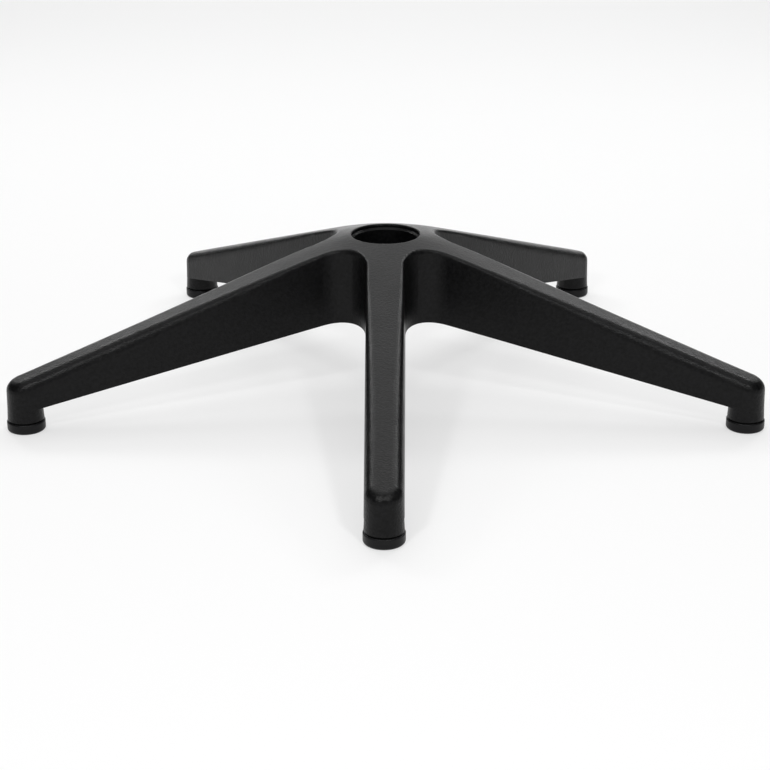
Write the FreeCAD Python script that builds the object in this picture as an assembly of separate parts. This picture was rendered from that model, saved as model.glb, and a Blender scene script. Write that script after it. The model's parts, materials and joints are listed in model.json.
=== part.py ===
import FreeCAD, Part
import math
import os
from FreeCAD import Vector

# Five-arm swivel chair base: one hollow moulding on five pressed-in glides, in millimetres.
# The floor is z = 0 and the column axis is the Z axis. Arm 1 points along -Y and the others follow
# counter-clockwise. Every shape of one arm is drawn along +X and then turned into place.

# overall sizes
ARMS = 5
FIRST_ARM_DEG = -90.0
OVERALL_D = 600.0
RIM_Z = 127.0
TIP_TOP_Z = 42.0
TIP_UNDER_Z = 18.4
HUB_UNDER_Z = 65.7
HUB_UNDER_R = 40.0
CROWN_R = 80.0
CROWN_LIFT = 2.6

# arm outline, measured at the floor plane; the draft narrows it upwards
ARM_END_R = 14.0
ARM_TAPER_DEG = 0.64
WEB_R = 23.5
DRAFT_DEG = 1.2
ROUND_WEB = 5.0
ROUND_HUB = 2.5
ROUND_TIP = 8.5

# hollow underside
WALL = 4.0
TOP_WALL = 6.0
RIB_T = 3.0
RIB_RECESS = 2.0
RIB_BAYS = 8
RIB_START_X = 52.0

# column socket, a 1:20 taper on diameter under a wider lead-in
LEAD_IN_R = 26.5
LEAD_IN_DEPTH = 3.0
TAPER_TOP_R = 25.0
TAPER_RATE = 1 / 40
RIM_ROUND = 1.0
SOCKET_R = 34.0
SOCKET_END_Z = 62.0

# steel hoop round the foot of the socket
HOOP_T = 2.5
HOOP_H = 12.0
HOOP_LEDGE = 1.0
HOOP_EDGE = 0.6
HOOP_ROOM = 0.7

# glides
PAD_D = 28.8
PAD_H = 8.0
PAD_SOLE_ROUND = 2.2
PAD_TOP_ROUND = 1.0
BOSS_R = 13.8
BOSS_DRAFT_DEG = 2.9
BOSS_OFFSET = 0.3
BOSS_ROOT = 6.0
BOSS_CHAMFER = 1.2
STEM_R = 5.5
STEM_H = 22.5
STEM_POINT = 1.6
STEM_HOLE_DEPTH = 24.5
STEM_HOLE_CHAMFER = 0.8
FLANGE_R = 8.5
FLANGE_H = 1.6
SPIGOT_R = 3.5
SPIGOT_H = 3.0
GROOVE_DEPTH = 0.8
GROOVE_BASE = 12.5
GROOVE_H = 4.2
RING_H = 4.0
RING_SLIT = 1.6

# fits
STEM_GAP = 0.1
MOULD_GAP = 0.1
PRESS_GAP = 0.02

# derived
STEP_DEG = 360.0 / ARMS
HALF_STEP = math.radians(STEP_DEG / 2)
FOOT_R = (OVERALL_D - PAD_D) / 2
ARM_END_X = FOOT_R - BOSS_OFFSET
TAPER = math.radians(ARM_TAPER_DEG)
DRAFT = math.tan(math.radians(DRAFT_DEG))
BOSS_DRAFT = math.tan(math.radians(BOSS_DRAFT_DEG))
TOP_FALL = (RIM_Z + CROWN_LIFT - TIP_TOP_Z) / (FOOT_R - LEAD_IN_R)
CROWN_OUT_Z = TIP_TOP_Z + TOP_FALL * (FOOT_R - CROWN_R)
CROWN_OUT_ANGLE = math.atan(TOP_FALL)
CROWN_IN_ANGLE = 2 * math.atan((RIM_Z - CROWN_OUT_Z) / (CROWN_R - LEAD_IN_R)) - CROWN_OUT_ANGLE
CROWN_ARC_R = (CROWN_R - LEAD_IN_R) / (math.sin(CROWN_OUT_ANGLE) - math.sin(CROWN_IN_ANGLE))
CROWN_ARC_X = LEAD_IN_R - CROWN_ARC_R * math.sin(CROWN_IN_ANGLE)
CROWN_ARC_Z = RIM_Z - CROWN_ARC_R * math.cos(CROWN_IN_ANGLE)
UNDER_FALL = (HUB_UNDER_Z - TIP_UNDER_Z) / (FOOT_R - HUB_UNDER_R)
STEM_HOLE_R = STEM_R + STEM_GAP
HOOP_IN_R = SOCKET_R - HOOP_LEDGE
HOOP_TOP_Z = SOCKET_END_Z + HOOP_H
REACH = OVERALL_D / 2 + 10
TALL = RIM_Z + 20
UP = Vector(0, 0, 1)
HERE = Vector(0, 0, 0)


def straight_z(r):
    """Height of the arms' straight upper face, carried on to the column axis."""
    return TIP_TOP_Z + TOP_FALL * (FOOT_R - r)


def top_z(r):
    """Height of the upper face at distance r from the column axis: a crowned hub, then straight arms."""
    if r > CROWN_R:
        return straight_z(r)
    return CROWN_ARC_Z + math.sqrt(CROWN_ARC_R ** 2 - (r - CROWN_ARC_X) ** 2)


def under_z(r):
    """Height of the arms' lower edge at distance r from the column axis."""
    return TIP_UNDER_Z + UNDER_FALL * (FOOT_R - r)


def turned(points):
    """Solid of revolution about the Z axis from a closed list of (r, z) points."""
    corners = [Vector(-r, 0, z) for r, z in points]
    face = Part.Face(Part.makePolygon(corners + corners[:1]))
    return face.revolve(HERE, UP, 360)


def cone_band(lift_low, lift_high):
    """Everything between the arms' lower and straight upper faces, each moved up by a lift."""
    return turned([
        (0, under_z(0) + lift_low),
        (REACH, under_z(REACH) + lift_low),
        (REACH, straight_z(REACH) + lift_high),
        (0, straight_z(0) + lift_high),
    ])


def crowned_band():
    """Everything between the lower face and the upper face with its crown."""
    low_in, low_out = [Vector(-r, 0, under_z(r)) for r in (0, REACH)]
    top_in, crown, crown_out, top_out = [Vector(-r, 0, top_z(r)) for r in (0, CROWN_R / 2, CROWN_R, REACH)]
    profile = Part.Wire([
        Part.makeLine(low_in, low_out),
        Part.makeLine(low_out, top_out),
        Part.makeLine(top_out, crown_out),
        Part.Arc(crown_out, crown, top_in).toShape(),
        Part.makeLine(top_in, low_in),
    ])
    return Part.Face(profile).revolve(HERE, UP, 360)


def arm_outline(z, inset):
    """Plan outline at height z of one arm with its fifth of the hub, set in by inset."""
    end_r = ARM_END_R - inset
    web_r = WEB_R + inset
    half_at_axis = (ARM_END_R + WEB_R) / math.cos(TAPER) + ARM_END_X * math.tan(TAPER)
    web_c = half_at_axis / (math.sin(HALF_STEP) + math.tan(TAPER) * math.cos(HALF_STEP))

    def on_web(angle):
        x = web_c * math.cos(HALF_STEP) + web_r * math.cos(angle)
        y = web_c * math.sin(HALF_STEP) + web_r * math.sin(angle)
        return Vector(x, y, z)

    def on_end(angle):
        return Vector(ARM_END_X + end_r * math.cos(angle), end_r * math.sin(angle), z)

    def mirrored(p):
        return Vector(p.x, -p.y, p.z)

    at_side = -math.pi / 2 - TAPER
    at_hub = HALF_STEP - math.pi
    side, halfway, notch = [on_web(a) for a in (at_side, (at_side + at_hub) / 2, at_hub)]
    tip = on_end(math.pi / 2 - TAPER)
    axis = Vector(0, 0, z)
    return Part.Wire([
        Part.makeLine(axis, mirrored(notch)),
        Part.Arc(mirrored(notch), mirrored(halfway), mirrored(side)).toShape(),
        Part.makeLine(mirrored(side), mirrored(tip)),
        Part.Arc(mirrored(tip), on_end(0), tip).toShape(),
        Part.makeLine(tip, side),
        Part.Arc(side, halfway, notch).toShape(),
        Part.makeLine(notch, axis),
    ])


def arm_prism(inset):
    """Drafted upright block of one arm, set in by inset at every height."""
    foot = arm_outline(0, inset)
    head = arm_outline(TALL, inset + TALL * DRAFT)
    return Part.makeLoft([foot, head], True, True)


def on_seam(point):
    """Is this point on the plane halfway to the next arm?"""
    return abs(abs(math.atan2(point.y, point.x)) - HALF_STEP) < 0.001


def rounding_at(point):
    """Radius of the upper edge's rounding at one end of an edge."""
    if on_seam(point):
        return ROUND_WEB
    return ROUND_TIP if math.hypot(point.x, point.y) > FOOT_R / 2 else ROUND_HUB


def round_upper_edges(arm):
    """Round the upper edge of an arm, full in the web, sharp beside the hub and fullest at the tip."""
    picks = []
    for number, edge in enumerate(arm.Edges, 1):
        ends = [edge.valueAt(p) for p in edge.ParameterRange]
        middle = edge.valueAt(sum(edge.ParameterRange) / 2)
        reach = [math.hypot(p.x, p.y) for p in ends]
        level = all(abs(p.z - top_z(r)) < 0.01 for p, r in zip(ends, reach))
        across = abs(math.hypot(middle.x, middle.y) - CROWN_R) < 0.01
        if level and not across and not on_seam(middle):
            picks.append((number, rounding_at(ends[0]), rounding_at(ends[1])))
    doc = FreeCAD.newDocument("rounding")
    sharp = doc.addObject("Part::Feature", "sharp")
    sharp.Shape = arm
    rounded = doc.addObject("Part::Fillet", "rounded")
    rounded.Base = sharp
    rounded.Edges = picks
    doc.recompute()
    result = rounded.Shape.Solids[0].copy()
    FreeCAD.closeDocument(doc.Name)
    return result


def at_foot(shape):
    """Move a shape turned about the Z axis out to the foot of an arm."""
    return shape.translated(Vector(FOOT_R, 0, 0))


def boss():
    """Round boss under the arm's end, a little narrower than the arm and flared down to the glide."""
    rim_z = PAD_H + BOSS_CHAMFER
    root_z = TIP_UNDER_Z + BOSS_ROOT
    root_r = BOSS_R - (root_z - rim_z) * BOSS_DRAFT
    return at_foot(turned([
        (0, PAD_H),
        (BOSS_R - BOSS_CHAMFER, PAD_H),
        (BOSS_R, rim_z),
        (root_r, root_z),
        (0, root_z),
    ]))


def stem_hole():
    """Blind hole in the boss for the glide stem."""
    end_z = PAD_H + STEM_HOLE_DEPTH
    return at_foot(turned([
        (0, PAD_H),
        (STEM_HOLE_R + STEM_HOLE_CHAMFER, PAD_H),
        (STEM_HOLE_R, PAD_H + STEM_HOLE_CHAMFER),
        (STEM_HOLE_R, end_z),
        (0, end_z),
    ]))


def rib(start, end):
    """Upright plate between two plan points."""
    dx, dy = end[0] - start[0], end[1] - start[1]
    length = math.hypot(dx, dy)
    plate = Part.makeBox(length, RIB_T, TALL, Vector(0, -RIB_T / 2, 0))
    plate.rotate(HERE, UP, math.degrees(math.atan2(dy, dx)))
    return plate.translated(Vector(start[0], start[1], 0))


def arm_ribs():
    """Zigzag ribs along the arm and a rib from the socket to each web."""
    end_x = FOOT_R - ARM_END_R
    pitch = (end_x - RIB_START_X) / RIB_BAYS
    nodes = [(SOCKET_R - 1, 0)]
    for bay in range(RIB_BAYS + 1):
        x = RIB_START_X + bay * pitch
        half = ARM_END_R + (FOOT_R - x) * math.tan(TAPER) - WALL
        nodes.append((x, half if bay % 2 else -half))
    plates = [rib(a, b) for a, b in zip(nodes, nodes[1:])]
    far = SOCKET_R + WEB_R
    for side in (-1, 1):
        plates.append(rib((0, 0), (far * math.cos(HALF_STEP), side * far * math.sin(HALF_STEP))))
    return plates[0].multiFuse(plates[1:]).common(cone_band(RIB_RECESS, 0))


def arm_pockets():
    """Hollow under one arm, without its ribs, its boss and the column socket."""
    hollow = arm_prism(WALL).common(cone_band(-TALL, -TOP_WALL))
    keep_boss = Part.makeCylinder(ARM_END_R, TALL, Vector(FOOT_R, 0, 0))
    keep_socket = Part.makeCylinder(SOCKET_R, TALL)
    return hollow.cut([keep_boss, keep_socket, arm_ribs()])


def one_arm():
    """One fifth of the moulding, with the column socket still solid."""
    arm = round_upper_edges(arm_prism(0).common(crowned_band()).Solids[0])
    return arm.fuse(boss()).cut([arm_pockets(), stem_hole()])


def column_bore():
    """Lead-in and taper that the column passes through and wedges in."""
    taper_z = RIM_Z - LEAD_IN_DEPTH - (LEAD_IN_R - TAPER_TOP_R)
    end_z = SOCKET_END_Z - 1
    return turned([
        (0, end_z),
        (TAPER_TOP_R - (taper_z - end_z) * TAPER_RATE, end_z),
        (TAPER_TOP_R, taper_z),
        (LEAD_IN_R, RIM_Z - LEAD_IN_DEPTH),
        (LEAD_IN_R, TALL),
        (0, TALL),
    ])


def hoop_room():
    """Ring-shaped room round the foot of the socket where the hoop is pressed on."""
    return turned([
        (HOOP_IN_R, 0),
        (HOOP_IN_R + HOOP_T + HOOP_ROOM, 0),
        (HOOP_IN_R + HOOP_T + HOOP_ROOM, HOOP_TOP_Z),
        (HOOP_IN_R, HOOP_TOP_Z),
    ])


def to_arm(shape, index):
    """Turn a shape drawn along +X onto the arm of that index."""
    placed = shape.copy()
    placed.rotate(HERE, UP, FIRST_ARM_DEG + index * STEP_DEG)
    return placed


def star_base():
    """The whole moulding: five arms, hub and column socket."""
    arm = one_arm()
    socket = Part.makeCylinder(SOCKET_R, HUB_UNDER_Z + WALL - SOCKET_END_Z, Vector(0, 0, SOCKET_END_Z))
    arms = [to_arm(arm, index) for index in range(ARMS)]
    base = arms[0].multiFuse(arms[1:] + [socket])
    base = base.cut([column_bore(), hoop_room()]).removeSplitter().Solids[0]
    rim = [e for e in base.Edges if is_rim(e)]
    return base.makeFillet(RIM_ROUND, rim)


def is_rim(edge):
    """Is this edge part of the circle where the lead-in meets the upper face?"""
    ends = [edge.valueAt(p) for p in edge.ParameterRange]
    return all(abs(p.z - RIM_Z) < 0.01 and abs(math.hypot(p.x, p.y) - LEAD_IN_R) < 0.01 for p in ends)


def hub_hoop():
    """Steel hoop pressed on the foot of the column socket, up against its ledge."""
    in_r = HOOP_IN_R + PRESS_GAP
    out_r = HOOP_IN_R + HOOP_T
    return turned([
        (in_r, SOCKET_END_Z),
        (out_r - HOOP_EDGE, SOCKET_END_Z),
        (out_r, SOCKET_END_Z + HOOP_EDGE),
        (out_r, HOOP_TOP_Z - HOOP_EDGE),
        (out_r - HOOP_EDGE, HOOP_TOP_Z),
        (in_r, HOOP_TOP_Z),
    ])


def glide_foot():
    """Plastic disc that stands on the floor, hollowed for the stem's flange and spigot."""
    disc = Part.makeCylinder(PAD_D / 2, PAD_H)
    sole = [e for e in disc.Edges if abs(e.CenterOfMass.z) < 0.01]
    disc = disc.makeFillet(PAD_SOLE_ROUND, sole)
    crown = [e for e in disc.Edges if abs(e.BoundBox.ZMin - PAD_H) < 0.01]
    disc = disc.makeFillet(PAD_TOP_ROUND, crown)
    flange_z = PAD_H - FLANGE_H
    seat = Part.makeCylinder(FLANGE_R + MOULD_GAP, FLANGE_H, Vector(0, 0, flange_z))
    hole = Part.makeCylinder(SPIGOT_R + PRESS_GAP, SPIGOT_H, Vector(0, 0, flange_z - SPIGOT_H))
    return at_foot(disc.cut([seat, hole]))


def glide_stem():
    """Steel stem with a spigot and flange in the disc and a ring groove in the boss."""
    groove_r = STEM_R - GROOVE_DEPTH
    groove_z = PAD_H + GROOVE_BASE
    end_z = PAD_H + STEM_H
    flange_z = PAD_H - FLANGE_H
    return at_foot(turned([
        (0, flange_z - SPIGOT_H),
        (SPIGOT_R, flange_z - SPIGOT_H),
        (SPIGOT_R, flange_z),
        (FLANGE_R, flange_z),
        (FLANGE_R, PAD_H),
        (STEM_R, PAD_H),
        (STEM_R, groove_z),
        (groove_r, groove_z),
        (groove_r, groove_z + GROOVE_H),
        (STEM_R, groove_z + GROOVE_H),
        (STEM_R, end_z - STEM_POINT),
        (STEM_R - STEM_POINT, end_z),
        (0, end_z),
    ]))


def grip_ring():
    """Split spring ring in the stem's groove that grips the wall of the boss hole."""
    out_r = STEM_HOLE_R - PRESS_GAP
    in_r = STEM_R - GROOVE_DEPTH + PRESS_GAP
    base_z = PAD_H + GROOVE_BASE
    ring = turned([(in_r, base_z), (out_r, base_z), (out_r, base_z + RING_H), (in_r, base_z + RING_H)])
    slit = Part.makeBox(out_r + 1, RING_SLIT, RING_H, Vector(0, -RING_SLIT / 2, base_z))
    return at_foot(ring.cut(slit))


def main():
    os.makedirs("parts", exist_ok=True)
    pieces = {"star_base": star_base(), "hub_hoop": hub_hoop()}
    for name, shape in (("glide_foot", glide_foot()), ("glide_stem", glide_stem()), ("grip_ring", grip_ring())):
        for index in range(ARMS):
            pieces[f"{name}_{index + 1}"] = to_arm(shape, index)
    for node, shape in pieces.items():
        shape.exportStep(f"parts/{node}.step")


main()
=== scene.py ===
import json
import math

import bpy
from mathutils import Matrix, Vector

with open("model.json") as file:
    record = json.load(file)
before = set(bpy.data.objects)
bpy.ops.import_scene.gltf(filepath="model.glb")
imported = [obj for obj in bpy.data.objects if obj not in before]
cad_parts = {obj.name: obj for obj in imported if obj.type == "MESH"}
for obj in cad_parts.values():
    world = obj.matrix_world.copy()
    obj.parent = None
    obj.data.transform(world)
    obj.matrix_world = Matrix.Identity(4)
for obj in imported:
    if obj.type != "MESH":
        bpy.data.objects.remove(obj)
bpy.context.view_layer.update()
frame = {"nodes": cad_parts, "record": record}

MM = 0.001
WHITE = (1.0, 1.0, 1.0, 1.0)

# camera, fitted to the photograph's outline; its place is in metres
IMAGE_PX = 770
SENSOR_MM = 36.0
FOCAL_PX = 1945.2
CAMERA_AT = (0.0079, -1.4495, 0.5614)
PITCH_DEG = 21.142
YAW_DEG = -0.343
ROLL_DEG = -0.228

# stage, in metres; the white share is what the floor shows the eye and gloss as plain white
FLOOR_SIZE = 60.0
FLOOR_COLOUR = (0.86, 0.86, 0.86, 1.0)
FLOOR_WHITE_SHARE = 0.55
WORLD_STRENGTH = 0.06

# soft boxes on the middle line: name, place, aim, width and depth in metres, watts
MIDDLE_BOXES = [
    ("top", (0.0, 0.0, 1.90), (0.0, 0.0, 0.0), 2.2, 1.6, 14.4),
    ("top_back", (0.0, 1.25, 1.90), (0.0, 0.0, 0.06), 2.2, 1.0, 13.5),
    ("back", (0.0, 2.10, 1.05), (0.0, 0.0, 0.8), 2.3, 2.0, 12.0),
    ("horizon", (0.0, 2.50, 0.20), (0.0, 0.0, 0.15), 3.2, 0.35, 4.5),
    ("front", (0.0, -2.30, 0.90), (0.0, 0.0, 0.3), 4.0, 1.6, 6.0),
]

# soft boxes that stand on both sides, given for the right side in the same order
SIDE_BOXES = [
    ("key", (0.51, -1.22, 1.10), (0.0, -0.25, 0.04), 0.15, 0.15, 6.4),
    ("rim", (0.86, 1.02, 1.15), (0.0, 0.0, 0.1), 0.35, 0.35, 4.6),
]

# most of a noise texture's values lie between these two
NOISE_START = 0.3
NOISE_END = 0.7

# an edge counts as worn by the cosine between its true normal and its rounded one
EDGE_WORN = 0.9
EDGE_PLAIN = 0.995
EDGE_SAMPLES = 4


class Nodes:
    """A material's node tree, with short calls to add and join nodes."""

    def __init__(self, name):
        self.material = bpy.data.materials.new(name)
        self.material.use_nodes = True
        self.tree = self.material.node_tree
        self.shader = self.tree.nodes["Principled BSDF"]
        self.output = self.tree.nodes["Material Output"]

    def add(self, kind, **values):
        node = self.tree.nodes.new(kind)
        for key, value in values.items():
            setattr(node, key, value)
        return node

    def join(self, source, target):
        self.tree.links.new(source, target)

    def noise(self, size_mm, detail, stretch=(1, 1, 1)):
        """Noise whose grains are about size_mm across, longer along the axes with a stretch under 1."""
        place = self.add("ShaderNodeTexCoord")
        mapping = self.add("ShaderNodeMapping")
        mapping.inputs["Scale"].default_value = stretch
        texture = self.add("ShaderNodeTexNoise")
        texture.inputs["Scale"].default_value = 1 / (size_mm * MM)
        texture.inputs["Detail"].default_value = detail
        self.join(place.outputs["Object"], mapping.inputs["Vector"])
        self.join(mapping.outputs["Vector"], texture.inputs["Vector"])
        return texture.outputs["Fac"]

    def spread(self, value, low, high, start=NOISE_START, end=NOISE_END):
        """Map a value from start..end onto low..high."""
        ranged = self.add("ShaderNodeMapRange")
        limits = {"From Min": start, "From Max": end, "To Min": low, "To Max": high}
        for key, limit in limits.items():
            ranged.inputs[key].default_value = limit
        self.join(value, ranged.inputs["Value"])
        return ranged.outputs["Result"]

    def combined(self, operation, first, second):
        """One value made of two by a step of arithmetic."""
        result = self.add("ShaderNodeMath", operation=operation)
        self.join(first, result.inputs[0])
        self.join(second, result.inputs[1])
        return result.outputs["Value"]

    def mixed(self, share, first, second):
        """Colour between two plain colours."""
        mix = self.add("ShaderNodeMix", data_type="RGBA")
        mix.inputs["A"].default_value = (*first, 1.0)
        mix.inputs["B"].default_value = (*second, 1.0)
        self.join(share, mix.inputs["Factor"])
        return mix.outputs["Result"]

    def mixed_shader(self, share, first, second):
        """Shader between two others."""
        mix = self.add("ShaderNodeMixShader")
        self.join(share, mix.inputs["Fac"])
        self.join(first.outputs[0], mix.inputs[1])
        self.join(second.outputs[0], mix.inputs[2])
        return mix

    def bump(self, height, depth_mm, below=None):
        """Normal from a height in 0..1 that stands for depth_mm, on top of another normal."""
        node = self.add("ShaderNodeBump")
        node.inputs["Distance"].default_value = depth_mm * MM
        self.join(height, node.inputs["Height"])
        if below:
            self.join(below, node.inputs["Normal"])
        return node.outputs["Normal"]

    def edges(self, radius_mm):
        """One on edges sharper than the radius and zero on flat faces."""
        bevel = self.add("ShaderNodeBevel", samples=EDGE_SAMPLES)
        bevel.inputs["Radius"].default_value = radius_mm * MM
        geometry = self.add("ShaderNodeNewGeometry")
        cosine = self.add("ShaderNodeVectorMath", operation="DOT_PRODUCT")
        self.join(bevel.outputs["Normal"], cosine.inputs[0])
        self.join(geometry.outputs["Normal"], cosine.inputs[1])
        return self.spread(cosine.outputs["Value"], 1.0, 0.0, EDGE_WORN, EDGE_PLAIN)

    def set(self, socket, value):
        self.shader.inputs[socket].default_value = value

    def finish(self, colour, roughness, normal):
        """Join to the shader what every finish of the part has."""
        for socket, value in {"Base Color": colour, "Roughness": roughness, "Normal": normal}.items():
            self.join(value, self.shader.inputs[socket])
        return self.material


def black_nylon():
    """Spark-grained black moulding: satin, faintly mottled, a little polished along its edges."""
    n = Nodes("black_nylon")
    n.set("Specular IOR Level", 0.175)
    cloud = n.noise(size_mm=18.0, detail=4.0)
    pits = n.noise(size_mm=2.4, detail=5.0)
    grain = n.noise(size_mm=1.2, detail=2.0)
    worn = n.edges(radius_mm=1.5)
    dark = (0.0016, 0.0016, 0.0017)
    pale = (0.0054, 0.0054, 0.0058)
    speckle = n.spread(pits, low=0.0, high=1.0, start=0.35, end=0.65)
    mottle = n.spread(cloud, low=0.29, high=0.37)
    polish = n.spread(worn, low=0.0, high=-0.06, start=0.0, end=1.0)
    pitted = n.bump(pits, depth_mm=0.15)
    return n.finish(
        colour=n.mixed(speckle, dark, pale),
        roughness=n.combined("ADD", mottle, polish),
        normal=n.bump(grain, depth_mm=0.20, below=pitted),
    )


def glide_plastic():
    """Smooth satin plastic, faintly mottled and finely grained."""
    n = Nodes("glide_plastic")
    n.set("Specular IOR Level", 0.17)
    cloud = n.noise(size_mm=6.0, detail=3.0)
    grain = n.noise(size_mm=0.4, detail=2.0)
    dark = (0.0062, 0.0062, 0.0067)
    pale = (0.0090, 0.0090, 0.0096)
    return n.finish(
        colour=n.mixed(cloud, dark, pale),
        roughness=n.spread(cloud, low=0.34, high=0.42),
        normal=n.bump(grain, depth_mm=0.015),
    )


def plated_steel():
    """Zinc plate: bright grey with soft blue and warm clouds and fine drawing lines."""
    n = Nodes("plated_steel")
    n.set("Metallic", 1.0)
    cloud = n.noise(size_mm=9.0, detail=4.0)
    lines = n.noise(size_mm=0.5, detail=1.0, stretch=(1, 1, 0.05))
    bluish = (0.50, 0.52, 0.56)
    warm = (0.62, 0.60, 0.56)
    return n.finish(
        colour=n.mixed(cloud, bluish, warm),
        roughness=n.spread(lines, low=0.24, high=0.38),
        normal=n.bump(lines, depth_mm=0.006),
    )


def spring_steel():
    """Bright drawn strip, darker than the plated parts."""
    n = Nodes("spring_steel")
    n.set("Metallic", 1.0)
    lines = n.noise(size_mm=0.4, detail=2.0, stretch=(1, 1, 0.08))
    dark = (0.32, 0.32, 0.34)
    pale = (0.44, 0.44, 0.46)
    return n.finish(
        colour=n.mixed(lines, dark, pale),
        roughness=n.spread(lines, low=0.28, high=0.40),
        normal=n.bump(lines, depth_mm=0.005),
    )


def dress_nodes():
    """Give every piece the material that the record's slot names."""
    makers = (black_nylon, glide_plastic, plated_steel, spring_steel)
    finishes = {make.__name__: make() for make in makers}
    for piece in frame["record"]["subparts"]:
        materials = frame["nodes"][piece["node"]].data.materials
        materials.clear()
        materials.append(finishes[piece["material_slot"]])


def floor_material():
    """Pale floor that keeps shadows, part plain white to the eye and to gloss, and clear from below."""
    n = Nodes("floor")
    n.tree.nodes.remove(n.shader)
    pale = n.add("ShaderNodeBsdfDiffuse")
    pale.inputs["Color"].default_value = FLOOR_COLOUR
    white = n.add("ShaderNodeEmission")
    clear = n.add("ShaderNodeBsdfTransparent")
    rays = n.add("ShaderNodeLightPath").outputs
    seen = n.combined("MAXIMUM", rays["Is Camera Ray"], rays["Is Glossy Ray"])
    seen = n.combined("MAXIMUM", seen, rays["Is Transmission Ray"])
    share = n.spread(seen, low=0.0, high=FLOOR_WHITE_SHARE, start=0.0, end=1.0)
    below = n.add("ShaderNodeNewGeometry").outputs["Backfacing"]
    lit = n.mixed_shader(share, pale, white)
    one_sided = n.mixed_shader(below, lit, clear)
    n.join(one_sided.outputs[0], n.output.inputs["Surface"])
    return n.material


def add_floor():
    half = FLOOR_SIZE / 2
    mesh = bpy.data.meshes.new("floor")
    corners = [(-half, -half, 0), (half, -half, 0), (half, half, 0), (-half, half, 0)]
    mesh.from_pydata(corners, [], [(0, 1, 2, 3)])
    mesh.materials.append(floor_material())
    floor = bpy.data.objects.new("floor", mesh)
    bpy.context.collection.objects.link(floor)


def add_soft_box(name, place, aim, width, depth, watts):
    data = bpy.data.lights.new(name, "AREA")
    data.shape = "RECTANGLE"
    data.size = width
    data.size_y = depth
    data.energy = watts
    lamp = bpy.data.objects.new(name, data)
    lamp.location = place
    lamp.rotation_euler = (Vector(aim) - Vector(place)).to_track_quat("-Z", "Y").to_euler()
    bpy.context.collection.objects.link(lamp)


def add_lamps():
    for box in MIDDLE_BOXES:
        add_soft_box(*box)
    for name, (x, y, z), *rest in SIDE_BOXES:
        add_soft_box(name + "_left", (-x, y, z), *rest)
        add_soft_box(name + "_right", (x, y, z), *rest)


def add_world():
    world = bpy.data.worlds.new("studio")
    world.use_nodes = True
    sky = world.node_tree.nodes["Background"]
    sky.inputs["Color"].default_value = WHITE
    sky.inputs["Strength"].default_value = WORLD_STRENGTH
    bpy.context.scene.world = world


def add_camera():
    data = bpy.data.cameras.new("camera")
    data.sensor_fit = "HORIZONTAL"
    data.sensor_width = SENSOR_MM
    data.lens = FOCAL_PX / IMAGE_PX * SENSOR_MM
    camera = bpy.data.objects.new("camera", data)
    turn = Matrix.Rotation(math.radians(-YAW_DEG), 4, "Z")
    tilt = Matrix.Rotation(math.radians(90 - PITCH_DEG), 4, "X")
    roll = Matrix.Rotation(math.radians(ROLL_DEG), 4, "Z")
    camera.matrix_world = Matrix.Translation(CAMERA_AT) @ turn @ tilt @ roll
    bpy.context.collection.objects.link(camera)
    bpy.context.scene.camera = camera


dress_nodes()
add_floor()
add_world()
add_lamps()
add_camera()
bpy.context.scene.view_settings.view_transform = "Standard"
